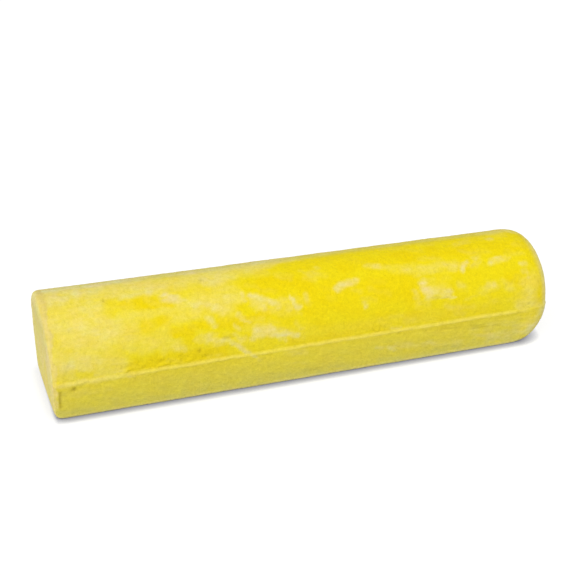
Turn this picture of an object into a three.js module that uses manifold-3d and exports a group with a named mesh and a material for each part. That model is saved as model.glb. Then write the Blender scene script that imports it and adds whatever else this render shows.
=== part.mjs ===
// A bar of soft detailing clay, the kind that is kneaded flat and rubbed over wet car paint.
//
// The bar is one solid, homogeneous piece: a loaf-shaped length of clay with a flat base, two low
// upright sides and a domed top. One end was moulded and is a rounded nose. The other end was cut
// square across with a blade.
//
// Units are millimetres, +Z is up, and +X runs along the bar from the cut end to the nose.
// The origin is on the base, in the middle of the bar's length and width.

import * as THREE from 'three';
import { mergeVertices } from 'three/addons/utils/BufferGeometryUtils.js';
import Module from 'manifold-3d';

// Driving dimensions.
const LENGTH = 160; // cut end to the tip of the nose
const WIDTH = 34; // across the sides, where they meet the dome
const SIDE_HEIGHT = 12; // base to the parting line at the foot of the dome
const DOME_HEIGHT = 20; // parting line to the crest
const SIDE_DRAFT = 0.6; // each side leans in by this much at the base
const NOSE_EDGE_RADIUS = 7; // rounding of the rim all round the nose
const NOSE_CROWN = 3; // the tip stands this far in front of the crest's end
const NOSE_UNDERCUT = 9; // the nose curves back by this much down to the base

// Fineness of the faceted surface.
const DOME_STEPS = 44;
const NOSE_EDGE_STEPS = 7;
const NOSE_PROFILE_STEPS = 12;

// Cutting bodies reach this far past the bar, so that no two faces lie on each other.
const MARGIN = 5;

const HEIGHT = SIDE_HEIGHT + DOME_HEIGHT;
const TIP_X = LENGTH / 2;
const CUT_X = -LENGTH / 2;

const wasm = await Module();
wasm.setup();

// A closed three.js geometry as a solid that can be joined and cut.
function toSolid(geometry) {
  const bare = geometry.clone();
  bare.deleteAttribute('normal');
  bare.deleteAttribute('uv');
  const merged = mergeVertices(bare, 1e-4);
  const vertProperties = new Float32Array(merged.attributes.position.array);
  const triVerts = new Uint32Array(merged.index.array);
  return new wasm.Manifold(new wasm.Mesh({ numProp: 3, vertProperties, triVerts }));
}

// A solid as a three.js geometry.
function toGeometry(solid) {
  const mesh = solid.getMesh();
  const geometry = new THREE.BufferGeometry();
  geometry.setAttribute('position', new THREE.BufferAttribute(mesh.vertProperties, 3));
  geometry.setIndex(new THREE.BufferAttribute(mesh.triVerts, 1));
  geometry.computeVertexNormals();
  return geometry;
}

// The bar's cross-section: flat base, drafted sides and an elliptical dome.
// Shape x is across the bar and shape y is height.
function crossSection() {
  const shape = new THREE.Shape();
  const baseHalf = WIDTH / 2 - SIDE_DRAFT;
  shape.moveTo(-baseHalf, 0);
  shape.lineTo(baseHalf, 0);
  shape.lineTo(WIDTH / 2, SIDE_HEIGHT);
  shape.absellipse(0, SIDE_HEIGHT, WIDTH / 2, DOME_HEIGHT, 0, Math.PI, false, 0);
  shape.closePath();
  return shape;
}

// The section swept along the bar. Its rims are rounded, and it runs past the cut end by the
// length of that rounding, so that trimming leaves the cut end square and the nose rounded.
function loaf() {
  const depth = LENGTH + MARGIN - NOSE_EDGE_RADIUS;
  const geometry = new THREE.ExtrudeGeometry(crossSection(), {
    depth,
    steps: 1,
    curveSegments: DOME_STEPS,
    bevelEnabled: true,
    bevelThickness: NOSE_EDGE_RADIUS,
    bevelSize: NOSE_EDGE_RADIUS,
    bevelOffset: -NOSE_EDGE_RADIUS,
    bevelSegments: NOSE_EDGE_STEPS,
  });
  // Shape x goes to +Y, shape y to +Z, and the sweep to +X, ending at the tip.
  geometry.applyMatrix4(new THREE.Matrix4().makeBasis(
    new THREE.Vector3(0, 1, 0),
    new THREE.Vector3(0, 0, 1),
    new THREE.Vector3(1, 0, 0),
  ));
  geometry.translate(TIP_X - NOSE_EDGE_RADIUS - depth, 0, 0);
  return geometry;
}

// The bar's outline seen from its side, as a slab that is wider than the bar: a straight cut at
// one end, and at the other a nose that bulges most at the parting line.
function sideOutline() {
  const shape = new THREE.Shape();
  shape.moveTo(CUT_X, -MARGIN);
  shape.lineTo(TIP_X - NOSE_UNDERCUT, -MARGIN);
  shape.lineTo(TIP_X - NOSE_UNDERCUT, 0);
  shape.absellipse(TIP_X - NOSE_UNDERCUT, SIDE_HEIGHT, NOSE_UNDERCUT, SIDE_HEIGHT,
    -Math.PI / 2, 0, false, 0);
  shape.absellipse(TIP_X - NOSE_CROWN, SIDE_HEIGHT, NOSE_CROWN, DOME_HEIGHT,
    0, Math.PI / 2, false, 0);
  shape.lineTo(TIP_X - NOSE_CROWN, HEIGHT + MARGIN);
  shape.lineTo(CUT_X, HEIGHT + MARGIN);
  shape.closePath();
  const depth = WIDTH + 2 * MARGIN;
  const geometry = new THREE.ExtrudeGeometry(shape, {
    depth,
    steps: 1,
    curveSegments: NOSE_PROFILE_STEPS,
    bevelEnabled: false,
  });
  // Shape x stays +X, shape y goes to +Z, and the slab's thickness lies across the bar.
  geometry.rotateX(Math.PI / 2);
  geometry.translate(0, depth / 2, 0);
  return geometry;
}

function clayBar() {
  const solid = toSolid(loaf()).intersect(toSolid(sideOutline()));
  const material = new THREE.MeshStandardMaterial({
    color: 0xecd62e,
    roughness: 0.62,
    metalness: 0,
  });
  const mesh = new THREE.Mesh(toGeometry(solid), material);
  mesh.name = 'clay_bar';
  return mesh;
}

const part = new THREE.Group();
part.name = 'detailing_clay_bar';
part.add(clayBar());

export default part;
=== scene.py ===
"""Looks of the clay bar: a loaf-shaped bar of soft detailing clay on a pale studio floor.

The bar is one mesh that stands for the CAD solid. Its surface is a closed form with a domed top,
low upright sides, a flat base, a rounded nose and a square cut end. Rays from the bar's axis meet
that form at every mesh point, and the relief of handled clay is then added along the normals.

Lengths are in millimetres until the mesh is made, and in metres from there on. A place on the bar
is (x, s): x runs along the bar, and s is the distance over the skin, up the front side from the
base and over the dome.
"""

import math

import bpy
import numpy as np
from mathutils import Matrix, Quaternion, Vector, noise


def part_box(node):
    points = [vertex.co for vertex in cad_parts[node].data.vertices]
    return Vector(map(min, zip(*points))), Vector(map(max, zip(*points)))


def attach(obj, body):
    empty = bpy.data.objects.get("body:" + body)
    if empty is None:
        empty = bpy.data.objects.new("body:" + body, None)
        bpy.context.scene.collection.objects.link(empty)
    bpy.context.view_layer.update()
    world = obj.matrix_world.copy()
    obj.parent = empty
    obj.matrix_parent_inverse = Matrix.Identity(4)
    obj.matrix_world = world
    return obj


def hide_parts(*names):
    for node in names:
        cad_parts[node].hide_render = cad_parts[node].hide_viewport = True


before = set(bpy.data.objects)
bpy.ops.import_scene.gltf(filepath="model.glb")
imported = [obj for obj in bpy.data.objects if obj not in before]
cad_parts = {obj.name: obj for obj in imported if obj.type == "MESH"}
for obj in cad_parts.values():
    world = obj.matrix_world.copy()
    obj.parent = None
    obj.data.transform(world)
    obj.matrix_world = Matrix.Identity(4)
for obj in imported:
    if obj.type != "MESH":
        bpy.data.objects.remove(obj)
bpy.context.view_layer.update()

MM = 0.001

# The CAD solid's own size.
BOX_LOW, BOX_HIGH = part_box("clay_bar")
LENGTH = (BOX_HIGH.x - BOX_LOW.x) / MM
WIDTH = (BOX_HIGH.y - BOX_LOW.y) / MM
HEIGHT = (BOX_HIGH.z - BOX_LOW.z) / MM
TIP_X = LENGTH / 2
CUT_X = -LENGTH / 2
HALF_WIDTH = WIDTH / 2

# The form.
SIDE_HEIGHT = 0.375 * HEIGHT  # the parting line at the foot of the dome
DOME_EXTRA = 0.20  # half way along, the dome is this much taller than the CAD solid's
DOME_HEIGHT = HEIGHT - SIDE_HEIGHT + DOME_EXTRA
SIDE_DRAFT = 0.6  # each side leans in by this much at the base
DOME_POWER = 2.037  # 2 is an ellipse, and more is fuller at the shoulders
NOSE_CROWN = 2.2  # the tip stands this far in front of the crest's end
CROWN_POWER = 2.05
NOSE_UNDERCUT = 7.8  # the nose curves back by this much down to the base
UNDERCUT_POWER = 1.94
NOSE_BLEND = 6.0  # softness of the rim round the nose
NOSE_SLOPE = 0.8  # how fast the nose's own field rises in front of it
BASE_BLEND = 0.8  # softness of the edges of the base
CUT_BLEND = 2.6  # softness of the cut end's rim
CUT_PILLOW = 0.35  # the cut face bulges by this much at its middle
CUT_MIDDLE = 0.45 * HEIGHT
CUT_OUT = 0.62  # the cut is this far outside the CAD solid's
CUT_LEAN = 1.00  # and its top leans out by this much more
LEAN_START = 1.0  # from this far above the parting line
CUT_SLANT = 0.018  # the cut runs this much further out for each unit towards the back
CUT_PIVOT = -14.0  # where across the bar the slanted cut is at its nominal place
WIDTH_TAPER = 0.035  # the bar is this share narrower at the nose than at the cut end
DOME_TAPER = 0.083  # and its dome is this share lower
TWIST = math.radians(-0.46)  # turn of the section from the cut end to the nose

# Spacing of the mesh points.
STEP_ALONG = 0.56
STEP_ROUND = 0.5
STEP_PARTING = 0.16
PARTING_REACH = 1.3
STEP_EDGE = 0.35
EDGE_REACH = 2.0
STEP_BASE = 1.1
STEP_RIM = 0.22
RIM_REACH = 2.0
RIM_RINGS = 7
CUT_FACE_RINGS = 26
NOSE_RINGS = 34
INNER_SHARE = 0.03  # the innermost ring on each end's face, as a share of the section
ANCHOR_INSET = 17.0  # rays for each end start this far inside it
RAY_REACH = 1.3  # rays run this far, where 1 is the seed
HALVINGS = 26
SLOPE_REACH = 0.05  # the form's slope is measured this far to each side


def ramp(value, start, end):
    """A smooth step from 0 at start to 1 at end."""
    t = np.clip((value - start) / (end - start), 0.0, 1.0)
    return t * t * (3 - 2 * t)


def rough(points, size, seed, octaves):
    """Fractal noise of about -1 to 1 at each point, with its largest lumps about size across."""
    shift = Vector((seed * 17.3, seed * 9.1, seed * 23.7))
    return np.array([noise.fractal(Vector(p) / size + shift, 1.0, 2.0, octaves) for p in points])


# ---------------------------------------------------------------------------------------------
# The form as a field: negative inside, positive outside, about in millimetres.


def soft_max(a, b, blend):
    """The larger of two fields, which rounds the edge where they meet."""
    share = np.clip(0.5 + 0.5 * (a - b) / blend, 0.0, 1.0)
    return b * (1 - share) + a * share + blend * share * (1 - share)


def quarter_round(depth, share, power):
    """How far a quarter of a round has curved back at this share of its height."""
    return depth * (1 - (1 - np.clip(share, 0.0, 1.0) ** power) ** (1 / power))


def form(points):
    """The bar without its relief: skin, nose, base and cut, with their edges rounded."""
    x = points[:, 0]
    along = x / LENGTH
    base = -points[:, 2]
    turn = TWIST * along
    y = points[:, 1] * np.cos(turn) + points[:, 2] * np.sin(turn)
    z = points[:, 2] * np.cos(turn) - points[:, 1] * np.sin(turn)
    half = HALF_WIDTH * (1 - WIDTH_TAPER * along)
    dome = DOME_HEIGHT * (1 - DOME_TAPER * along)
    below = np.clip(1 - z / SIDE_HEIGHT, 0.0, 1.0)
    above = np.maximum(z - SIDE_HEIGHT, 0.0) / dome
    across = np.abs(y) / (half - SIDE_DRAFT * below)
    radius = (across**DOME_POWER + above**DOME_POWER) ** (1 / DOME_POWER)
    skin = (radius - 1) * HALF_WIDTH
    crown = quarter_round(NOSE_CROWN, above, CROWN_POWER)
    undercut = quarter_round(NOSE_UNDERCUT, below, UNDERCUT_POWER)
    nose = (x - TIP_X + np.where(z > SIDE_HEIGHT, crown, undercut)) * NOSE_SLOPE
    from_middle = (z - CUT_MIDDLE) / (HEIGHT - CUT_MIDDLE)
    pillow = (y / HALF_WIDTH) ** 2 * 0.5 + from_middle**2 * 0.5
    leaning = np.maximum(z - SIDE_HEIGHT - LEAN_START, 0.0) / (DOME_HEIGHT - LEAN_START)
    lean = CUT_LEAN * leaning**2
    cut = CUT_X - CUT_OUT - lean + CUT_PILLOW * pillow - CUT_SLANT * (y - CUT_PIVOT) - x
    whole = soft_max(skin, nose, NOSE_BLEND)
    whole = soft_max(whole, base, BASE_BLEND)
    return soft_max(whole, cut, CUT_BLEND)


# ---------------------------------------------------------------------------------------------
# Mesh points: rows run round the section and stations run along the bar.


def dome_outline():
    """The dome's outline from the front parting line to the back one, with its arc length."""
    angle = np.linspace(0, math.pi, 1200)
    side, up = np.cos(angle), np.sin(angle)
    radius = (np.abs(side) ** DOME_POWER + up**DOME_POWER) ** (-1 / DOME_POWER)
    y = -HALF_WIDTH * side * radius
    z = SIDE_HEIGHT + DOME_HEIGHT * up * radius
    arc = np.concatenate([[0], np.cumsum(np.hypot(np.diff(y), np.diff(z)))])
    return y, z, arc


DOME_Y, DOME_Z, DOME_ARC = dome_outline()
FRONT_PARTING = SIDE_HEIGHT
CREST = SIDE_HEIGHT + DOME_ARC[-1] / 2
BACK_PARTING = SIDE_HEIGHT + DOME_ARC[-1]
BACK_BASE = BACK_PARTING + SIDE_HEIGHT
BASE_HALF = HALF_WIDTH - SIDE_DRAFT
ROUND = BACK_BASE + 2 * BASE_HALF


def row_places():
    """The skin distance of each row, closest together at the parting lines."""
    places, s = [], 0.0
    while s < ROUND - STEP_PARTING:
        places.append(s)
        to_parting = min(abs(s - FRONT_PARTING), abs(s - BACK_PARTING))
        to_edge = min(s, abs(s - BACK_BASE), ROUND - s)
        if to_parting < PARTING_REACH:
            s += STEP_PARTING
        elif to_edge < EDGE_REACH:
            s += STEP_EDGE
        elif s > BACK_BASE:
            s += STEP_BASE
        else:
            s += STEP_ROUND
    return np.array(places)


def section_point(s):
    """Where a row crosses the section: (y, z)."""
    if s < FRONT_PARTING:
        return -HALF_WIDTH + SIDE_DRAFT * (1 - s / SIDE_HEIGHT), s
    if s < BACK_PARTING:
        arc = s - FRONT_PARTING
        return float(np.interp(arc, DOME_ARC, DOME_Y)), float(np.interp(arc, DOME_ARC, DOME_Z))
    if s < BACK_BASE:
        z = BACK_BASE - s
        return HALF_WIDTH - SIDE_DRAFT * (1 - z / SIDE_HEIGHT), z
    return BASE_HALF - (s - BACK_BASE), 0.0


def stations():
    """(x, share) pairs from the middle of the cut face to the middle of the nose.

    share is 1 on the sides, and falls to 0 over each end's face.
    """
    rim = [1 - i * STEP_RIM / HALF_WIDTH for i in range(1, RIM_RINGS + 1)]
    face = list(np.linspace(rim[-1], INNER_SHARE, CUT_FACE_RINGS))[1:]
    places = [(CUT_X, share) for share in reversed(rim + face)]
    x = CUT_X
    while x < TIP_X - 0.5 * STEP_ALONG:
        places.append((x, 1.0))
        x += STEP_RIM if x < CUT_X + RIM_REACH else STEP_ALONG
    places += [(TIP_X, share) for share in np.linspace(1.0, INNER_SHARE, NOSE_RINGS)]
    return places


def cast(seeds):
    """Moves each seed along the ray from the bar's axis until it lies on the form."""
    inner = TIP_X - ANCHOR_INSET
    anchors = np.zeros_like(seeds)
    anchors[:, 0] = np.clip(seeds[:, 0], -inner, inner)
    anchors[:, 2] = SIDE_HEIGHT
    rays = seeds - anchors
    near, far = np.zeros(len(seeds)), np.full(len(seeds), RAY_REACH)
    for _ in range(HALVINGS):
        middle = (near + far) / 2
        inside = form(anchors + rays * middle[:, None]) < 0
        near, far = np.where(inside, middle, near), np.where(inside, far, middle)
    return anchors + rays * near[:, None]


def outward(points):
    """The form's unit normal at each point."""
    slopes = []
    for axis in np.eye(3) * SLOPE_REACH:
        slopes.append(form(points + axis) - form(points - axis))
    normals = np.stack(slopes, 1)
    return normals / np.linalg.norm(normals, axis=1, keepdims=True)


# ---------------------------------------------------------------------------------------------
# Marks. Unless its comment says otherwise, each is (x from, s from, x to, s to, half width,
# strength).

PALE_SMEARS = [
    # Over the haze towards the cut end.
    (-56.5, 35.7, -48.5, 35.6, 0.7, 0.50),
    (-44.4, 33.5, -42.0, 32.6, 1.1, 0.95),
    (-42.0, 32.6, -39.0, 31.2, 0.9, 0.85),
    (-39.0, 31.0, -35.0, 30.1, 0.5, 0.55),
    (-35.0, 30.1, -30.5, 28.3, 0.5, 0.50),
    (-30.5, 28.0, -27.5, 26.8, 0.9, 0.30),
    (-36.0, 31.8, -30.0, 30.4, 0.6, 0.16),
    (-33.3, 25.0, -31.3, 22.9, 0.7, 0.50),
    (-36.6, 19.6, -33.8, 19.1, 0.7, 0.58),
    (-33.8, 18.8, -29.0, 17.5, 0.8, 0.76),
    (-33.4, 20.2, -30.4, 19.6, 0.4, 0.34),
    (-44.0, 17.9, -41.0, 17.3, 0.7, 0.26),
    (-73.8, 18.4, -70.6, 17.4, 1.1, 0.34),
    (-67.6, 34.4, -64.4, 33.6, 1.6, 0.38),
    (-58.0, 11.6, -54.0, 11.4, 0.7, 0.40),
    # The worked patch in the middle.
    (-28.6, 18.2, -24.4, 15.6, 0.4, 0.46),
    (-27.4, 17.0, -24.0, 14.6, 0.3, 0.30),
    (-24.2, 15.4, -22.8, 13.7, 0.6, 0.66),
    (-22.8, 13.7, -20.2, 11.2, 0.4, 0.56),
    (-20.6, 11.6, -18.6, 9.8, 0.4, 0.30),
    (-24.8, 18.8, -23.0, 17.6, 0.7, 0.40),
    (-25.4, 21.9, -23.6, 20.4, 0.4, 0.42),
    (-23.6, 25.2, -22.0, 23.7, 0.45, 0.40),
    (-22.8, 23.2, -20.4, 22.2, 0.3, 0.36),
    (-26.6, 30.6, -23.0, 29.4, 1.1, 0.24),
    (-21.7, 31.2, -21.2, 29.0, 0.5, 0.50),
    (-19.0, 29.6, -16.2, 28.6, 0.8, 0.72),
    (-18.7, 27.4, -15.8, 26.0, 0.8, 0.56),
    (-16.0, 28.4, -14.2, 27.6, 0.5, 0.10),
    (-14.4, 27.8, -12.6, 26.8, 0.6, 0.52),
    (-12.8, 27.0, -10.8, 25.4, 0.7, 0.46),
    (-9.8, 27.2, -8.2, 24.6, 0.8, 0.26),
    (-7.4, 27.8, -6.4, 26.8, 0.5, 0.62),
    (-6.4, 26.6, -5.0, 24.9, 0.7, 0.85),
    (-2.3, 27.9, -1.9, 26.0, 0.5, 0.36),
    (-20.0, 17.0, -18.7, 19.4, 0.6, 0.60),
    (-18.6, 19.7, -14.5, 19.4, 0.9, 0.72),
    (-17.6, 18.0, -14.2, 17.4, 0.7, 0.44),
    (-14.8, 19.2, -12.6, 18.0, 0.9, 0.95),
    (-12.8, 18.0, -10.2, 17.2, 0.7, 0.90),
    (-10.4, 17.2, -5.8, 16.0, 0.5, 0.88),
    (-12.2, 16.4, -10.2, 14.9, 0.5, 0.42),
    (-6.6, 19.4, -4.6, 18.4, 0.6, 0.22),
    (-27.0, 36.0, -24.0, 33.0, 1.8, 0.18),
    # Lone dabs on the fresher half.
    (8.4, 28.3, 10.6, 28.9, 0.8, 0.72),
    (10.6, 29.2, 14.2, 30.0, 0.7, 0.64),
    (16.3, 23.0, 16.7, 21.4, 0.5, 0.54),
    (1.6, 34.8, 3.0, 33.6, 0.8, 0.26),
    (3.5, 36.6, 3.8, 36.5, 0.5, 0.22),
    (19.2, 34.5, 22.5, 34.0, 0.7, 0.22),
    (22.5, 34.2, 25.6, 33.4, 0.6, 0.26),
    (26.5, 32.6, 33.0, 31.4, 0.9, 0.20),
    (33.0, 31.0, 42.0, 30.2, 1.1, 0.24),
    (33.5, 29.2, 35.0, 28.8, 0.6, 0.14),
    (44.8, 30.8, 47.6, 29.8, 0.9, 0.34),
    (36.2, 26.2, 36.8, 23.8, 1.0, 0.92),
    (36.2, 23.6, 37.2, 21.9, 1.0, 0.82),
    (38.4, 23.8, 43.6, 22.8, 1.2, 0.40),
    (38.4, 22.6, 43.8, 22.0, 0.8, 0.30),
    (38.6, 21.2, 46.0, 20.3, 0.20, 0.50),
    (32.7, 23.8, 33.0, 22.2, 0.5, 0.34),
    (33.6, 20.6, 36.6, 19.8, 0.8, 0.22),
    (43.0, 17.6, 47.0, 17.0, 0.8, 0.18),
    (50.0, 28.2, 50.6, 28.5, 0.6, 0.86),
    (50.6, 29.0, 52.0, 30.8, 0.7, 0.80),
    (48.4, 23.9, 49.2, 23.5, 0.8, 0.38),
    (57.0, 22.0, 58.8, 22.4, 0.8, 0.44),
    (55.0, 20.8, 60.0, 21.2, 0.8, 0.14),
    (60.4, 29.7, 64.0, 30.6, 0.7, 0.72),
    (64.4, 30.6, 66.2, 30.2, 0.4, 0.34),
    (53.6, 29.2, 56.0, 31.8, 0.35, 0.24),
    (54.5, 32.2, 57.0, 32.6, 0.6, 0.20),
    (55.0, 29.2, 57.2, 31.2, 0.3, 0.16),
    (62.5, 39.2, 64.0, 39.4, 0.6, 0.56),
    (51.0, 38.8, 56.0, 39.8, 0.9, 0.18),
    (70.4, 28.0, 71.4, 27.7, 0.6, 0.44),
    (70.6, 25.6, 71.0, 24.8, 0.5, 0.24),
    (71.4, 24.2, 71.7, 23.6, 0.4, 0.28),
    (62.5, 22.6, 66.0, 21.0, 1.1, 0.16),
    (70.5, 21.0, 73.0, 15.0, 1.4, 0.26),
    (68.0, 13.6, 76.0, 13.0, 1.8, 0.26),
    # The front side and the foot of the nose.
    (20.0, 7.4, 26.0, 6.4, 0.8, 0.30),
    (23.5, 6.5, 25.0, 5.4, 0.5, 0.40),
    (24.4, 12.9, 27.2, 12.4, 0.4, 0.40),
    (26.0, 6.3, 38.0, 5.4, 1.0, 0.34),
    (38.0, 5.4, 48.0, 4.0, 1.1, 0.26),
    (-10.0, 11.0, -4.0, 10.0, 1.0, 0.22),
    (-7.0, 10.0, -5.0, 5.0, 1.2, 0.16),
    (54.0, 7.0, 71.0, 7.0, 2.8, 0.28),
    (58.0, 3.2, 72.0, 3.0, 1.5, 0.34),
    # Paler at the foot of the nose, partly painted light thrown up from the floor.
    (71.5, 2.0, 77.0, 11.0, 2.0, 0.50),
    (74.0, 2.0, 78.0, 11.0, 1.8, 0.95),
    (74.0, 0.5, 80.0, 8.0, 1.8, 0.90),
]

SMEAR_STRENGTH = 0.50
MARK_SHIFT = 0.4  # the front's marks lie this much further towards the nose than listed
MARK_DROP = 0.3  # and this much lower
BACK_SHIFT = 7.0  # the back's are the same ones, this much further towards the cut end
BACK_DROP = 1.5  # and this much lower

HAZE = [
    # Broad, dry bloom.
    (-84, 26, -68, 26, 10.0, 0.23),
    (-82, 40, -66, 41, 4.5, 0.30),
    (-80, 40, -28, 41, 5.5, 0.20),
    (-56, 29, -30, 28, 6.5, 0.14),
    (-57, 21, -44, 19, 3.0, 0.12),
    (-30, 38, -10, 43, 3.5, 0.20),
    (-71, 22, -70, 34, 2.2, 0.07),
    (-66, 36.5, -60, 37, 2.2, 0.10),
    (-48, 36.2, -38, 37, 2.0, 0.07),
    (-22, 36, -13, 37, 2.2, 0.07),
    (-28, 32, -22, 31, 3.0, 0.06),
    (-80, 46, -3, 46, 4.2, 0.36),
    (-3, 46, 12, 46, 3.6, 0.12),
    (62, 45, 70, 45, 2.4, 0.10),
    # Paler where the top of the nose turns away, partly painted sheen.
    (73, 43.5, 77, 43, 2.2, 0.25),
    (-60, 15, 68, 15, 3.0, 0.022),
    (8, 47, 70, 47, 4.0, 0.15),
    (37, 30.5, 48, 30.5, 2.0, 0.07),
    (70, 15, 74, 22, 3.6, 0.09),
    (-80, 16, -62, 15.5, 4.0, 0.15),
    (-80, 6, -60, 5, 5.0, 0.05),
    (-80, 9, -64, 9.5, 2.2, 0.06),
]

CLEAR_PATCHES = [
    # Fresh clay that shows through the haze.
    (-57, 32.4, -52, 33.0, 1.6, 0.65),
    (-52, 33.2, -48, 32.6, 1.5, 1.00),
    (-47, 31.8, -43, 31.0, 0.9, 0.80),
    (-62, 33.0, -61, 31.0, 1.4, 0.50),
    (-52, 25.5, -45, 26.3, 1.3, 0.70),
    (-43, 22.6, -34.5, 23.2, 1.5, 0.90),
    (-56, 15.6, -50, 15.2, 1.5, 0.60),
    (-50, 14.0, -30, 14.3, 1.5, 0.68),
    (-48, 17.0, -44, 16.8, 1.5, 0.60),
    (-30, 22.5, -22, 21.0, 2.2, 0.90),
    (-33, 27.0, -30, 25.5, 1.0, 0.50),
    (-20, 23.5, -13, 24.0, 1.6, 1.00),
    (-20, 33.0, -2, 32.0, 2.6, 1.00),
    (-72.8, 14.9, -70, 14.2, 0.8, 0.70),
]

GOLDEN = [
    # Where the yellow is deepest and warmest.
    (-56, 32.8, -44, 32.0, 1.8, 0.8),
    (-52, 25.6, -45, 26.0, 1.2, 0.6),
    (-44, 22.6, -39, 22.4, 1.3, 0.9),
    (-38, 23.2, -34, 23.4, 1.1, 0.8),
    (-56, 15.0, -42, 15.0, 1.8, 0.6),
    (-42, 14.5, -30, 14.6, 1.6, 0.8),
    (-29, 23.2, -21, 22.6, 1.7, 0.8),
    (-20, 24.0, -15, 24.2, 1.2, 0.8),
    (-14, 33.0, -2, 32.0, 2.8, 0.7),
    (-8, 14.0, 10, 13.6, 1.3, 0.5),
    (0, 26.0, 30, 26.0, 4.0, 0.4),
    (12, 36.0, 45, 36.0, 2.5, 0.4),
    (50, 36.0, 70, 35.0, 2.5, 0.4),
    (30, 16.0, 60, 15.0, 2.0, 0.3),
    (66, 24.0, 75, 22.0, 2.5, 0.4),
]

# A pale, pinkish band along the rounded rim of the cut end, painted as its highlight.
CUT_RIM = (-80.2, 5.0, -80.2, 46.0, 1.3, 0.65)

# Pinkish tone: a painted highlight along that rim and on the burr at its foot, and dry clay in a
# few dull spots.
BLUSH_AND_HIGHLIGHTS = [
    CUT_RIM,
    (-72, 37.0, -71, 29.0, 1.6, 0.35),
    (-43, 33.0, -40, 31.5, 1.2, 0.45),
    (-21, 30.0, -17, 26.0, 1.3, 0.40),
    # The painted highlight on the burr at the foot of the rim.
    (-80.0, 4.0, -80.0, 10.0, 0.6, 0.70),
    (36, 26.0, 37, 23.0, 1.2, 0.35),
    (61, 30.0, 64, 30.4, 0.9, 0.35),
]

# Pits: (x, s, radius, depth).
PITS = [
    (-62.5, 35.3, 0.55, 0.20),
    (-32.3, 38.3, 0.55, 0.20),
    (-36.8, 16.0, 0.60, 0.27),
    (-74.6, 10.2, 0.65, 0.42),
    (-74.2, 27.4, 0.55, 0.12),
    (-48.5, 14.8, 0.55, 0.16),
    (-76.8, 15.2, 0.50, 0.08),
    (-34.8, 14.2, 0.50, 0.12),
]

# Crumbs stuck above the parting line: (x, s, radius, height).
CRUMBS = [
    (-79.0, 12.7, 0.80, 0.26),
    (-59.0, 13.3, 0.60, 0.28),
    (-57.0, 13.6, 0.50, 0.20),
    (-50.6, 17.0, 0.55, 0.22),
    (-48.0, 15.6, 0.60, 0.25),
    (-46.0, 14.5, 0.50, 0.20),
    (-43.2, 13.8, 0.60, 0.30),
    (-37.2, 14.4, 0.50, 0.20),
    (-35.2, 14.9, 0.50, 0.20),
    (17.8, 14.6, 0.70, 0.22),
    (19.6, 13.6, 0.50, 0.18),
    (22.8, 13.4, 0.50, 0.16),
    (-28.2, 19.2, 0.50, 0.16),
]

# Short furrows, as smears are given, with depth last.
FURROWS = [
    (-78.8, 4.6, -78.6, 9.8, 0.32, 0.24),
    (52, 8.6, 57.5, 8.2, 0.35, 0.14),
    (51, 9.8, 56, 9.2, 0.35, 0.10),
    (41, 10.2, 48, 9.6, 0.35, 0.10),
    (59, 8.4, 62, 8.0, 0.35, 0.10),
    (24, 7.4, 27, 6.4, 0.35, 0.10),
    (-4, 3.0, 1, 3.2, 0.35, 0.10),
    (-77.6, 14.0, -75.0, 18.5, 0.35, 0.04),
    (38, 21.0, 44, 20.6, 0.30, 0.08),
    (-29, 18.9, -26, 18.6, 0.30, 0.10),
]

# Patches where the skin is crumpled, as smears are given.
CRUMPLED = [
    (-60, 14.0, -34, 14.2, 1.8, 1.0),
    (-79, 12.6, -70, 12.4, 1.0, 0.9),
    (-77, 23.0, -75, 30.5, 2.0, 0.7),
    (-29, 19.0, -24, 16.0, 1.2, 0.7),
    (-25, 22.0, -21, 23.0, 1.2, 0.4),
    (16, 14.2, 25, 13.6, 1.4, 0.9),
    (44, 15.0, 46, 16.0, 1.2, 0.5),
    (61, 21.0, 66, 22.5, 1.8, 0.7),
    (70, 14.0, 75, 22.0, 2.4, 0.7),
]

# Rubbing has drawn the clay out along lines that slant down towards the nose, and the blade has
# drawn it up and down the cut face. The places that noise is read at are squeezed by these
# amounts, which draws it out.
RUB_SLANT = math.radians(14)
RUB_TURN = np.array([
    [math.cos(RUB_SLANT), 0.0, math.sin(RUB_SLANT)],
    [0.0, 1.0, 0.0],
    [-math.sin(RUB_SLANT), 0.0, math.cos(RUB_SLANT)],
])
RUB_SQUEEZE = [0.16, 1.0, 1.0]
WISP_SQUEEZE = [0.45, 1.0, 1.0]
BLADE_SQUEEZE = [1.0, 1.0, 0.16]


def to_stroke(x, s, mark):
    """Distance from each place to a mark's centre line."""
    x0, s0, x1, s1 = mark[:4]
    run_x, run_s = x1 - x0, s1 - s0
    length_squared = max(run_x**2 + run_s**2, 1e-6)
    share = np.clip(((x - x0) * run_x + (s - s0) * run_s) / length_squared, 0.0, 1.0)
    return np.hypot(x - x0 - share * run_x, s - s0 - share * run_s)


def painted(x, s, marks, softness):
    """The marks laid over one another. Each ends this many half widths from its centre line."""
    bare = np.ones(len(x))
    for mark in marks:
        half_width, strength = mark[4:]
        fade = 1 - ramp(to_stroke(x, s, mark), 0.15 * half_width, softness * half_width)
        bare *= 1 - strength * ramp(fade, 0.05, 0.95)
    return 1 - bare


def brushed(x, s, marks, gaps):
    """The marks as dry strokes, each at half its strength one half width from its middle.

    gaps is noise that breaks them up.
    """
    bare = np.ones(len(x))
    for mark in marks:
        half_width, strength = mark[4:]
        fade = 1 - ramp(to_stroke(x, s, mark), 0.0, 2.0 * half_width + 0.3)
        bare *= 1 - strength * np.clip(fade * (1 + gaps), 0.0, 1.0)
    return 1 - bare


def dented(x, s, spots):
    """Round dents or lumps at each place: the sum of each spot's depth or height."""
    relief = np.zeros(len(x))
    for spot_x, spot_s, radius, amount in spots:
        away = ((x - spot_x) ** 2 + (s - spot_s) ** 2) / radius**2
        relief += amount * np.exp(-away)
    return relief


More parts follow.
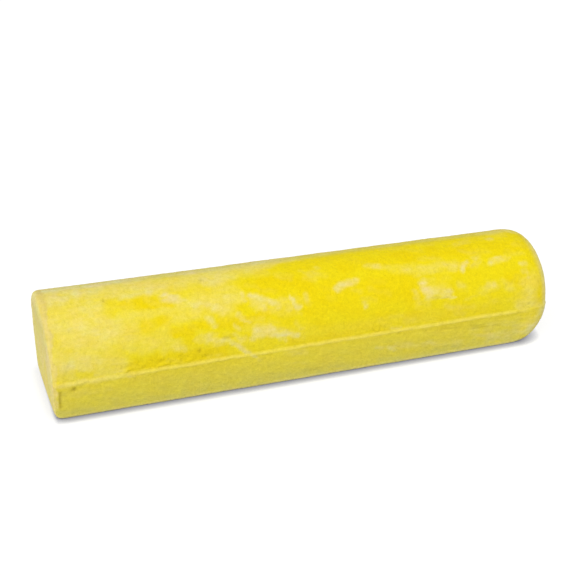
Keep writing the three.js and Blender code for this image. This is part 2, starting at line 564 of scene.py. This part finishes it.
def faint_rubs(count, seed):
    """Short faint marks all over, most of them slanting down towards the nose."""
    pick = np.random.RandomState(seed)
    marks = []
    for _ in range(count):
        x, s = pick.uniform(-76, 74), pick.uniform(13, CREST + 3)
        length, slant = pick.uniform(1.0, 7.0), pick.normal(-0.3, 0.3)
        half_width, strength = pick.uniform(0.3, 0.8), pick.uniform(0.01, 0.06)
        marks.append((x, s, x + length, s + slant * length, half_width, strength))
    return marks


def on_both_sides(draw, x, s):
    """The front's marks, passing softly beyond the crest into their like on the back."""
    back = ramp(s, CREST + 3.0, CREST + 10.0)
    front_value = draw(x - MARK_SHIFT, s + MARK_DROP)
    back_value = draw(x + BACK_SHIFT, BACK_BASE + BACK_DROP - s)
    return front_value * (1 - back) + back_value * back


# ---------------------------------------------------------------------------------------------
# Relief and paint.

# Heights of the relief.
LUMPS = 0.10
DIMPLES = 0.08
GRAIN = 0.045
GRIT = 0.055
CRUMPLES = 0.26
LEDGE = 0.40  # the sides stand out by this much from the foot of the dome
BURR = 0.13
SEAM = 0.04
SMEAR_RELIEF = 0.07
DRAG_LINES = 0.10
BASE_FLATNESS = 0.85  # this share of the relief is pressed away on the base

# Strength of the bloom, and of the painted highlights, reflection and sheen, on the plain parts
# of the bar.
CUT_BLOOM = 0.51
# Pale bloom and a painted highlight along the rounded rim of the cut end.
RIM_BLOOM_AND_HIGHLIGHT = 0.56
RIM_TOP_EXTRA = 0.20  # the rim has this much more at the top
# Pale bloom on the nose, with painted sheen where it turns towards the tip.
NOSE_BLOOM_AND_SHEEN = 0.62
NOSE_TOP_LOSS = 0.13  # the nose has this much less higher up
NOSE_FACE_LOSS = 0.16  # and this much less on its end face
# A painted highlight along the top of the ledge.
LEDGE_HIGHLIGHT = 0.21
BLUNT_HIGHLIGHT = 0.10  # the ledge has this much more where it is blunt
SIDE_BLOOM = 0.06
# A painted reflection of the pale floor along the base edge.
BASE_EDGE_REFLECTION = 0.40

# The dull greenish tone low on each side, part film and part painted shade that darkens it
# towards the base: how far up from the base, and its share there.
FILM_AND_SHADE_UP = [0.0, 0.9, 2.0, 3.5, 5.0, 8.0, 11.2, 12.6, 17.0, 24.0]
FILM_AND_SHADE_SHARE = [0.34, 0.38, 0.44, 0.31, 0.25, 0.19, 0.08, 0.03, 0.03, 0.0]
# Painted shade just past the crest, where the dome turns away from the light.
CREST_SHADE = 0.24
CREST_CUT_SHADE = 0.10  # the crest has this much more on the cut end's half
CUT_FILM = 0.02
CUT_TOP_FILM = 0.15  # the cut face has this much more at the top

# Painted shade in pits, furrows and the seam, and darkening along the top of the cut rim, for
# each unit of the thing that holds it.
HOLLOW_SHADE = 2.4
SEAM_SHADE = 0.1
RIM_TOP_DARKENING = 0.30

RUB_COUNT = 150
RUB_SEED = 11


def ridge(height, middle, half_width):
    """A smooth ridge over the heights, 1 at its middle."""
    return np.exp(-(((height - middle) / half_width) ** 2))


class Skin:
    """The mesh points' places on the bar, with the noise and the marks that they share."""

    def __init__(self, points, normals, s, share):
        self.x, self.z, self.s = points[:, 0], points[:, 2], s
        self.up = np.where(s > CREST, BACK_BASE - s, s)  # over the skin from the nearer base edge
        self.facing_tip = normals[:, 0]
        self.near_rim = ramp(share, 0.60, 0.92)  # 0 in the middle of each end's face
        off_side = ramp(1 - share, 0.0, 0.04)
        self.on_cut = ramp(-self.x, -CUT_X - 1.6, -CUT_X - 0.2) * off_side
        self.on_skin = 1 - self.on_cut
        self.on_base = ramp(s, BACK_BASE, BACK_BASE + 1.0)

        self.lumps = rough(points, 34.0, 1, 2)
        self.dimples = rough(points, 9.0, 2, 3)
        self.grain = rough(points, 2.2, 3, 3)
        self.warp_x = rough(points, 5.0, 4, 3)
        self.warp_s = rough(points, 4.0, 5, 3)
        self.drag = rough(points * BLADE_SQUEEZE, 1.6, 6, 2) * self.on_cut
        rubbed = points @ RUB_TURN * RUB_SQUEEZE
        self.streaks = rough(rubbed, 1.7, 7, 2)
        self.wide_streaks = rough(rubbed, 5.0, 8, 3)
        self.grit = rough(points, 1.1, 9, 2)
        self.wisps = rough(points @ RUB_TURN * WISP_SQUEEZE, 1.5, 10, 3)

        self.soft_x = self.x + 1.1 * self.warp_x + 0.5 * self.grain
        self.soft_s = s + 0.6 * self.warp_s + 0.35 * self.grain
        streaked = np.clip(1 + 0.6 * self.streaks, 0.0, 2.0)
        self.smears = self.strokes(PALE_SMEARS) * SMEAR_STRENGTH * streaked
        self.pits = self.sharp(PITS)
        self.furrows = self.scored(FURROWS)
        self.set_parting_line()

    def soft(self, marks, softness):
        """Marks with wandering, soft edges."""
        return on_both_sides(
            lambda u, v: painted(u, v, marks, softness), self.soft_x, self.soft_s)

    def strokes(self, marks):
        """Marks as dry strokes, with wandering edges and gaps."""
        return on_both_sides(
            lambda u, v: brushed(u, v, marks, 0.8 * self.wisps), self.soft_x, self.soft_s)

    def sharp(self, spots):
        """Round dents or lumps, just where they are given."""
        return on_both_sides(lambda u, v: dented(u, v, spots), self.x, self.s) * self.on_skin

    def scored(self, lines):
        """Thin lines that hardly wander."""
        nudge = 0.25 * self.warp_x
        return on_both_sides(
            lambda u, v: painted(u + nudge, v, lines, 1.9), self.x, self.s) * self.on_skin

    def set_parting_line(self):
        """The ledge where the sides stand out from the foot of the dome.

        It is blunt and ragged towards the cut end, and fades at the nose.
        """
        self.blunt = 1 - ramp(self.x, -66.0, -50.0)
        wobble = (0.18 + 0.12 * self.blunt) * self.warp_s + 0.14 * self.blunt * self.grain
        above = self.z - SIDE_HEIGHT - wobble
        kept = (0.85 + 0.15 * self.grain) * (1 - 0.55 * ramp(self.x, 65.0, 70.0)) * self.on_skin
        shelf = 1 - ramp(above, -0.45 - 0.35 * self.blunt, 0.50 + 0.25 * self.blunt)
        self.shelf = kept * shelf * ramp(self.z, 0.0, 9.0)
        self.burr = kept * ridge(above, -0.2, 0.5 + 0.3 * self.blunt)
        # Where the painted highlight along the ledge lies.
        self.ledge_top = kept * ridge(above, -0.15, 0.75 + 0.35 * self.blunt)
        self.seam = kept * ridge(above, -1.35, 0.35) * ramp(self.x, 20.0, 40.0)


def relief(skin):
    """Height of the surface above the form, along its normal."""
    crumpled = skin.soft(CRUMPLED, 1.6) * skin.on_skin
    height = LUMPS * skin.lumps + DIMPLES * skin.dimples + GRAIN * skin.grain
    height += (GRIT + CRUMPLES * crumpled) * skin.grit
    height += LEDGE * skin.shelf + BURR * skin.burr - SEAM * skin.seam
    height += SMEAR_RELIEF * skin.smears - skin.pits + skin.sharp(CRUMBS) - skin.furrows
    height += DRAG_LINES * skin.drag
    return height * (1 - BASE_FLATNESS * skin.on_base)


def bloom_and_highlights_on(skin, cut_rim, upper):
    """How much dry, pale bloom lies on the clay, with painted highlights on the ledge and the cut
    rim, a painted floor reflection on the base edge and painted sheen on the nose.
    """
    clear = skin.soft(CLEAR_PATCHES, 2.8) * (1.05 + 0.40 * skin.wisps)
    haze = skin.soft(HAZE, 1.5) * (1 - np.clip(clear, 0.0, 1.0))
    cloudy = 1 + 0.50 * skin.wide_streaks + 0.35 * skin.grain + 0.30 * skin.dimples
    haze *= np.clip(cloudy, 0.0, 2.0)
    rubs = skin.strokes(faint_rubs(RUB_COUNT, RUB_SEED))
    bloom_and_highlights = 1 - (1 - haze) * (1 - skin.smears * skin.on_skin) * (1 - rubs * skin.on_skin)

    mottle = 0.10 * skin.dimples + 0.14 * skin.warp_s
    cut_face = CUT_BLOOM + 0.06 * skin.near_rim + 0.12 * skin.drag + mottle
    # Along the rim: pale bloom and a painted highlight.
    rim = RIM_BLOOM_AND_HIGHLIGHT + RIM_TOP_EXTRA * upper + mottle
    nose = NOSE_BLOOM_AND_SHEEN - NOSE_TOP_LOSS * ramp(skin.z, 8.0, 18.0)
    nose -= NOSE_FACE_LOSS * ramp(skin.facing_tip, 0.92, 1.0)
    nose += 0.05 * skin.wide_streaks + 0.05 * skin.dimples
    # Pale bloom on the nose, with painted sheen where it turns towards the tip.
    on_nose = ramp(skin.facing_tip, 0.22, 0.76) * ramp(skin.z, 1.0, 6.0)
    # A painted highlight along the top of the ledge.
    ledge = (LEDGE_HIGHLIGHT + BLUNT_HIGHLIGHT * skin.blunt) * skin.ledge_top
    sides = SIDE_BLOOM * (1 - ramp(skin.z, 11.0, 12.5))
    # A painted reflection of the pale floor along the base edge.
    base_edge = BASE_EDGE_REFLECTION * (1 - ramp(skin.up, 0.3, 1.7))
    for layer in (
        cut_face * skin.on_cut, rim * cut_rim * skin.near_rim, nose * on_nose,
        ledge, sides, base_edge,
    ):
        bloom_and_highlights = np.maximum(bloom_and_highlights, layer)
    return bloom_and_highlights


def film_and_shade_on(skin):
    """How much dull greenish tone lies on the bar: film with painted shade low on the sides,
    painted shade just past the crest, and film on the cut.
    """
    # Low on the sides: film, with painted shade that darkens it towards the base.
    film_and_shade = np.interp(skin.up, FILM_AND_SHADE_UP, FILM_AND_SHADE_SHARE)
    film_and_shade *= 1 + 0.30 * skin.wide_streaks + 0.2 * skin.streaks + 0.2 * skin.grain
    film_and_shade *= 1 - 0.95 * ramp(skin.x, 67.0, 73.0)
    # Painted shade just past the crest, where the dome turns away from the light.
    past_crest = ramp(skin.s, CREST - 0.6, CREST + 2.6)
    past_crest *= 1 - ramp(skin.s, CREST + 4.0, CREST + 10.0)
    past_crest *= CREST_SHADE + CREST_CUT_SHADE * (1 - ramp(skin.x, -30.0, 20.0))
    film_and_shade += past_crest * (1 - ramp(skin.x, 66.0, 75.0))
    on_cut_face = CUT_FILM + CUT_TOP_FILM * ramp(skin.z, 10.0, 28.0)
    return film_and_shade * skin.on_skin + skin.on_cut * on_cut_face


def paint(skin):
    """The share of each tone that the material lays over the clay."""
    cut_rim = skin.soft([CUT_RIM], 1.6)
    upper = ramp(skin.z, 14.0, 28.0)
    # Darker along the top of the cut rim.
    darker_rim_top = cut_rim * skin.near_rim * upper
    # Pinkish tone: the painted highlight along the cut rim and its burr, and dry spots.
    blush_and_highlight = skin.soft(BLUSH_AND_HIGHLIGHTS, 1.6) * (1 - 0.75 * skin.on_cut)
    # Painted shade in the hollows of pits and furrows and in the seam's groove.
    shade_and_darkening = HOLLOW_SHADE * skin.pits + HOLLOW_SHADE * skin.furrows
    shade_and_darkening += SEAM_SHADE * skin.seam
    shade_and_darkening += RIM_TOP_DARKENING * darker_rim_top
    return {
        "bloom_and_highlights": bloom_and_highlights_on(skin, cut_rim, upper),
        "blush_and_highlight": blush_and_highlight + skin.on_cut * (0.04 + 0.5 * skin.warp_s),
        "golden": skin.soft(GOLDEN, 2.0) + 0.35 * skin.wide_streaks + 0.15 * skin.dimples,
        "film_and_shade": film_and_shade_on(skin),
        "shade_and_darkening": shade_and_darkening,
    }


# ---------------------------------------------------------------------------------------------
# The bar.


def set_values(mesh, name, values):
    """Gives the mesh one value for each point, for the material to read."""
    layer = mesh.attributes.new(name, "FLOAT", "POINT")
    layer.data.foreach_set("value", values.astype(np.float32))


def mesh_seeds(rows, places):
    """A seed for each mesh point, ring by ring, with its s and its share. The poles are last."""
    section = np.array([section_point(s) for s in rows])
    seeds = []
    for place_x, place_share in places:
        ring = np.empty((len(rows), 3))
        ring[:, 0] = place_x
        ring[:, 1] = section[:, 0] * place_share
        ring[:, 2] = SIDE_HEIGHT + (section[:, 1] - SIDE_HEIGHT) * place_share
        seeds.append(ring)
    seeds.append(np.array([[CUT_X, 0.0, SIDE_HEIGHT], [TIP_X, 0.0, SIDE_HEIGHT]]))
    s = np.concatenate([rows] * len(places) + [[CREST, CREST]])
    share = np.concatenate([np.full(len(rows), place[1]) for place in places] + [[0.0, 0.0]])
    return np.concatenate(seeds), s, share


def mesh_faces(n_rows, n_rings):
    """Four-sided faces between the rings, and triangles round the pole of each end."""
    faces = []
    for i in range(n_rings - 1):
        ring, following = i * n_rows, (i + 1) * n_rows
        for j in range(n_rows):
            k = (j + 1) % n_rows
            faces.append((ring + j, ring + k, following + k, following + j))
    last = (n_rings - 1) * n_rows
    cut_pole, tip_pole = n_rings * n_rows, n_rings * n_rows + 1
    for j in range(n_rows):
        k = (j + 1) % n_rows
        faces.append((cut_pole, k, j))
        faces.append((tip_pole, last + j, last + k))
    return faces


def clay_bar():
    """The bar: a mesh that is cast onto the form, raised by its relief and given its paint."""
    rows, places = row_places(), stations()
    seeds, s, share = mesh_seeds(rows, places)
    points = cast(seeds)
    normals = outward(points)
    skin = Skin(points, normals, s, share)
    points = points + normals * relief(skin)[:, None]
    points[:, 2] = np.maximum(points[:, 2], 0.0)

    mesh = bpy.data.meshes.new("moulded_clay")
    mesh.from_pydata((points * MM).tolist(), [], mesh_faces(len(rows), len(places)))
    for name, values in paint(skin).items():
        set_values(mesh, name, np.clip(values, 0.0, 1.0))
    mesh.shade_smooth()
    piece = bpy.data.objects.new("moulded_clay", mesh)
    bpy.context.scene.collection.objects.link(piece)
    return piece


# ---------------------------------------------------------------------------------------------
# Materials.


class Nodes:
    """Short calls for building one material's node tree."""

    def __init__(self, name):
        self.material = bpy.data.materials.new(name)
        self.material.use_nodes = True
        self.tree = self.material.node_tree
        self.shader = self.tree.nodes["Principled BSDF"]

    def add(self, kind, **settings):
        node = self.tree.nodes.new(kind)
        for key, value in settings.items():
            setattr(node, key, value)
        return node

    def link(self, source, target):
        self.tree.links.new(source, target)

    def attribute(self, name):
        """One of the values that the mesh was given for each point."""
        return self.add("ShaderNodeAttribute", attribute_name=name).outputs["Fac"]

    def noise(self, scale, detail, roughness, place):
        node = self.add("ShaderNodeTexNoise")
        node.inputs["Scale"].default_value = scale
        node.inputs["Detail"].default_value = detail
        node.inputs["Roughness"].default_value = roughness
        self.link(place, node.inputs["Vector"])
        return node.outputs["Fac"]

    def math(self, operation, a, b):
        node = self.add("ShaderNodeMath", operation=operation)
        for socket, value in zip(node.inputs, (a, b)):
            if isinstance(value, (int, float)):
                socket.default_value = value
            else:
                self.link(value, socket)
        return node.outputs[0]

    def span(self, value, low, high, to_low, to_high):
        """The value with its range from low to high made into one from to_low to to_high."""
        node = self.add("ShaderNodeMapRange", clamp=True)
        self.link(value, node.inputs["Value"])
        for socket, number in zip(list(node.inputs)[1:5], (low, high, to_low, to_high)):
            socket.default_value = number
        return node.outputs["Result"]

    def mix(self, share, a, b, blend="MIX"):
        """Colour a with this share of b over it."""
        node = self.add("ShaderNodeMix", data_type="RGBA", blend_type=blend)
        self.link(share, node.inputs["Factor"])
        for name, value in (("A", a), ("B", b)):
            socket = next(i for i in node.inputs if i.name == name and i.type == "RGBA")
            if isinstance(value, (list, tuple)):
                socket.default_value = (*value[:3], 1.0)
            else:
                self.link(value, socket)
        return next(o for o in node.outputs if o.type == "RGBA")


# The clay's tones, as linear colours.
LEMON = (0.845, 0.695, 0.008)
FRESH = (0.838, 0.648, 0.003)
BLOOM_HIGHLIGHT_WARM = (0.850, 0.715, 0.430)
BLOOM_HIGHLIGHT_COOL = (0.785, 0.770, 0.430)
# Pinkish tone of dry clay, and of the painted highlight along the cut rim.
BLUSH_AND_HIGHLIGHT_TONE = (0.865, 0.660, 0.370)
# Dull greenish tone of film, also laid on as painted shade low on the sides and past the crest.
FILM_AND_SHADE_TONE = (0.430, 0.450, 0.170)
# Dark tone for painted shade in the hollows and for the darker top of the cut rim.
SHADE_AND_DARK_TONE = (0.310, 0.225, 0.015)

FRESH_ROUGHNESS = 0.55
DRY_ROUGHNESS = 0.80
GLOSS = 0.04
GRAIN_BUMP = 0.9
GRAIN_DEPTH = 0.00030  # the finest grain, which only the material has


def clay_material():
    """Yellow clay under film and painted shade, bloom and painted highlights, and painted shade
    in hollows with a darker cut rim top, each where the mesh's own values put it.
    """
    n = Nodes("detailing_clay")
    place = n.add("ShaderNodeTexCoord").outputs["Object"]
    drawn = n.add("ShaderNodeMapping")
    drawn.inputs["Rotation"].default_value = (0.0, RUB_SLANT, 0.0)
    drawn.inputs["Scale"].default_value = (0.2, 1.0, 1.0)
    n.link(place, drawn.inputs["Vector"])
    streaks = n.noise(1300.0, 4.0, 0.6, drawn.outputs["Vector"])
    patches = n.noise(160.0, 4.0, 0.55, place)
    flecks = n.noise(900.0, 4.0, 0.6, place)
    fine = n.noise(2600.0, 3.0, 0.6, place)

    warm = n.math("ADD", n.attribute("golden"), n.span(patches, 0.3, 0.7, -0.1, 0.6))
    fresh = n.mix(n.span(warm, 0.0, 0.9, 0.0, 1.0), LEMON, FRESH)
    filmed_and_shaded = n.mix(n.attribute("film_and_shade"), fresh, FILM_AND_SHADE_TONE)
    breakup = n.math("MULTIPLY", n.span(flecks, 0.3, 0.7, 0.88, 1.12),
                     n.span(streaks, 0.3, 0.7, 0.84, 1.16))
    # Bloom together with the painted highlights, reflection and sheen.
    broken = n.math("MULTIPLY", n.attribute("bloom_and_highlights"), breakup)
    tint = n.span(n.noise(240.0, 3.0, 0.6, place), 0.35, 0.65, 0.0, 1.0)
    # Pinkish tone from the painted highlight along the cut rim and from dry spots.
    dry = n.mix(n.attribute("blush_and_highlight"), n.mix(tint, BLOOM_HIGHLIGHT_WARM, BLOOM_HIGHLIGHT_COOL), BLUSH_AND_HIGHLIGHT_TONE)
    veiled = n.mix(broken, filmed_and_shaded, dry)
    # Painted shade in the hollows, and the darker top of the cut rim.
    shaded_and_darkened = n.mix(n.math("MULTIPLY", n.attribute("shade_and_darkening"), 0.8), veiled, SHADE_AND_DARK_TONE)
    speckle = n.math("ADD", n.math("MULTIPLY", fine, 0.4), n.math("MULTIPLY", flecks, 0.6))
    shade = n.span(speckle, 0.3, 0.7, 0.90, 1.10)
    grey = n.add("ShaderNodeCombineColor")
    for socket in list(grey.inputs)[:3]:
        n.link(shade, socket)
    full = n.add("ShaderNodeValue")
    full.outputs[0].default_value = 1.0
    colour = n.mix(full.outputs[0], shaded_and_darkened, grey.outputs[0], "MULTIPLY")
    n.link(colour, n.shader.inputs["Base Color"])

    dullness = n.span(broken, 0.0, 0.8, FRESH_ROUGHNESS, DRY_ROUGHNESS)
    n.link(dullness, n.shader.inputs["Roughness"])
    n.shader.inputs["Specular IOR Level"].default_value = GLOSS

    bump = n.add("ShaderNodeBump")
    bump.inputs["Strength"].default_value = GRAIN_BUMP
    bump.inputs["Distance"].default_value = GRAIN_DEPTH
    n.link(n.math("ADD", flecks, n.math("MULTIPLY", fine, 0.4)), bump.inputs["Height"])
    n.link(bump.outputs["Normal"], n.shader.inputs["Normal"])
    return n.material


def floor_material():
    """Backlit white paper, with a contact shadow painted into its glow where the bar meets it. It
    throws less light back on the bar than it shows to the camera.
    """
    n = Nodes("studio_floor")
    place = n.add("ShaderNodeTexCoord").outputs["Object"]
    cloudy = n.span(n.noise(3.0, 2.0, 0.5, place), 0.3, 0.7, 0.0, 1.0)
    paper = n.mix(cloudy, (0.29, 0.29, 0.30), (0.31, 0.31, 0.31))
    n.link(paper, n.shader.inputs["Base Color"])
    n.shader.inputs["Roughness"].default_value = 0.95
    n.shader.inputs["Specular IOR Level"].default_value = 0.0
    crevice = n.add("ShaderNodeAmbientOcclusion", samples=8)
    crevice.inputs["Distance"].default_value = CONTACT_REACH
    along = n.add("ShaderNodeSeparateXYZ")
    n.link(place, along.inputs[0])
    past_cut = n.span(along.outputs["X"], *CONTACT_FADE, CONTACT_AT_CUT, 1.0)
    past_nose = n.span(along.outputs["X"], *CONTACT_NOSE, 1.0, CONTACT_AT_NOSE)
    kept = n.math("MULTIPLY", past_cut, past_nose)
    # The painted contact shadow: the glow darkens where the bar is near.
    dark = n.math("SUBTRACT", 1.0, n.math("POWER", crevice.outputs["AO"], CONTACT_DEPTH))
    contact = n.math("SUBTRACT", 1.0, n.math("MULTIPLY", dark, kept))
    glow = n.mix(contact, CONTACT_TONE, (1.0, 1.0, 1.0))
    n.link(glow, n.shader.inputs["Emission Color"])
    n.shader.inputs["Emission Strength"].default_value = FLOOR_GLOW
    dull = n.add("ShaderNodeBsdfDiffuse")
    dull.inputs["Color"].default_value = (*FLOOR_BOUNCE, 1.0)
    choose = n.add("ShaderNodeMixShader")
    n.link(n.add("ShaderNodeLightPath").outputs["Is Camera Ray"], choose.inputs["Fac"])
    n.link(dull.outputs["BSDF"], choose.inputs[1])
    n.link(n.shader.outputs["BSDF"], choose.inputs[2])
    n.link(choose.outputs["Shader"], n.tree.nodes["Material Output"].inputs["Surface"])
    return n.material


# ---------------------------------------------------------------------------------------------
# Floor, light and camera.

FLOOR_HALF = 4.0
FLOOR_GLOW = 0.78
CONTACT_REACH = 0.0034  # the shadow where the bar meets the floor fades out over this
CONTACT_DEPTH = 3.0
CONTACT_FADE = (-0.0808, -0.0796)  # the shadow is fainter beyond the cut end, on the lit side
CONTACT_AT_CUT = 0.20
CONTACT_NOSE = (0.0700, 0.0800)  # and under the nose, which is drawn back from the floor
CONTACT_AT_NOSE = 0.30
CONTACT_TONE = (0.02, 0.03, 0.12)
FLOOR_BOUNCE = (0.50, 0.52, 0.54)
# Soft lights: name, heading to the left of straight in front, height, strength, spread.
LIGHTS = [
    ("key", 10.0, 35.5, 1.40, 80.0),
    ("side", 92.0, 8.0, 1.40, 100.0),
]
SKY_STRENGTH = 0.592

CAMERA_HEADING = 18.04  # degrees to the left of straight in front
CAMERA_HEIGHT = 27.43
CAMERA_DISTANCE = 0.40925
LENS = 81.35
AIM_LEFT = 0.00333  # the camera looks past the bar's middle by this much to the left
AIM_UP = 0.00609  # and by this much above it
CAMERA_ROLL = -0.353  # degrees


def towards(heading, height):
    """The direction from the bar to something at this heading to the left and this height."""
    a, e = math.radians(heading), math.radians(height)
    return Vector((-math.sin(a) * math.cos(e), -math.cos(a) * math.cos(e), math.sin(e)))


def studio_floor():
    mesh = bpy.data.meshes.new("floor")
    corners = [(-1, -1), (1, -1), (1, 1), (-1, 1)]
    points = [(x * FLOOR_HALF, y * FLOOR_HALF, 0.0) for x, y in corners]
    mesh.from_pydata(points, [], [(0, 1, 2, 3)])
    paper = bpy.data.objects.new("floor", mesh)
    mesh.materials.append(floor_material())
    bpy.context.scene.collection.objects.link(paper)
    return paper


def soft_lights():
    for name, heading, height, strength, spread in LIGHTS:
        sun = bpy.data.lights.new(name, "SUN")
        sun.energy = strength
        sun.angle = math.radians(spread)
        lamp = bpy.data.objects.new(name, sun)
        lamp.rotation_mode = "QUATERNION"
        lamp.rotation_quaternion = towards(heading, height).to_track_quat("Z", "Y")
        bpy.context.scene.collection.objects.link(lamp)


def white_sky():
    """An even white sky, which the camera sees as full white."""
    world = bpy.data.worlds.new("sky")
    bpy.context.scene.world = world
    world.use_nodes = True
    tree = world.node_tree
    sky = tree.nodes["Background"]
    sky.inputs["Color"].default_value = (1.0, 1.0, 1.0, 1.0)
    sky.inputs["Strength"].default_value = SKY_STRENGTH
    backdrop = tree.nodes.new("ShaderNodeBackground")
    backdrop.inputs["Color"].default_value = (1.0, 1.0, 1.0, 1.0)
    backdrop.inputs["Strength"].default_value = 1.0
    seen = tree.nodes.new("ShaderNodeLightPath")
    mix = tree.nodes.new("ShaderNodeMixShader")
    tree.links.new(seen.outputs["Is Camera Ray"], mix.inputs["Fac"])
    tree.links.new(sky.outputs["Background"], mix.inputs[1])
    tree.links.new(backdrop.outputs["Background"], mix.inputs[2])
    tree.links.new(mix.outputs["Shader"], tree.nodes["World Output"].inputs["Surface"])


def camera():
    middle = (BOX_LOW + BOX_HIGH) / 2
    data = bpy.data.cameras.new("camera")
    data.lens = LENS
    eye = bpy.data.objects.new("camera", data)
    back = towards(CAMERA_HEADING, CAMERA_HEIGHT)
    turn = back.to_track_quat("Z", "Y")
    eye.location = middle + back * CAMERA_DISTANCE
    aim = middle + turn @ Vector((-AIM_LEFT, AIM_UP, 0.0))
    back = (eye.location - aim).normalized()
    eye.rotation_mode = "QUATERNION"
    roll = Quaternion((0.0, 0.0, 1.0), math.radians(CAMERA_ROLL))
    eye.rotation_quaternion = back.to_track_quat("Z", "Y") @ roll
    bpy.context.scene.collection.objects.link(eye)
    bpy.context.scene.camera = eye
    bpy.context.scene.view_settings.view_transform = "Standard"


camera()
floor = studio_floor()
soft_lights()
white_sky()
bar = clay_bar()
bar.data.materials.append(clay_material())
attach(bar, "root")
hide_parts("clay_bar")
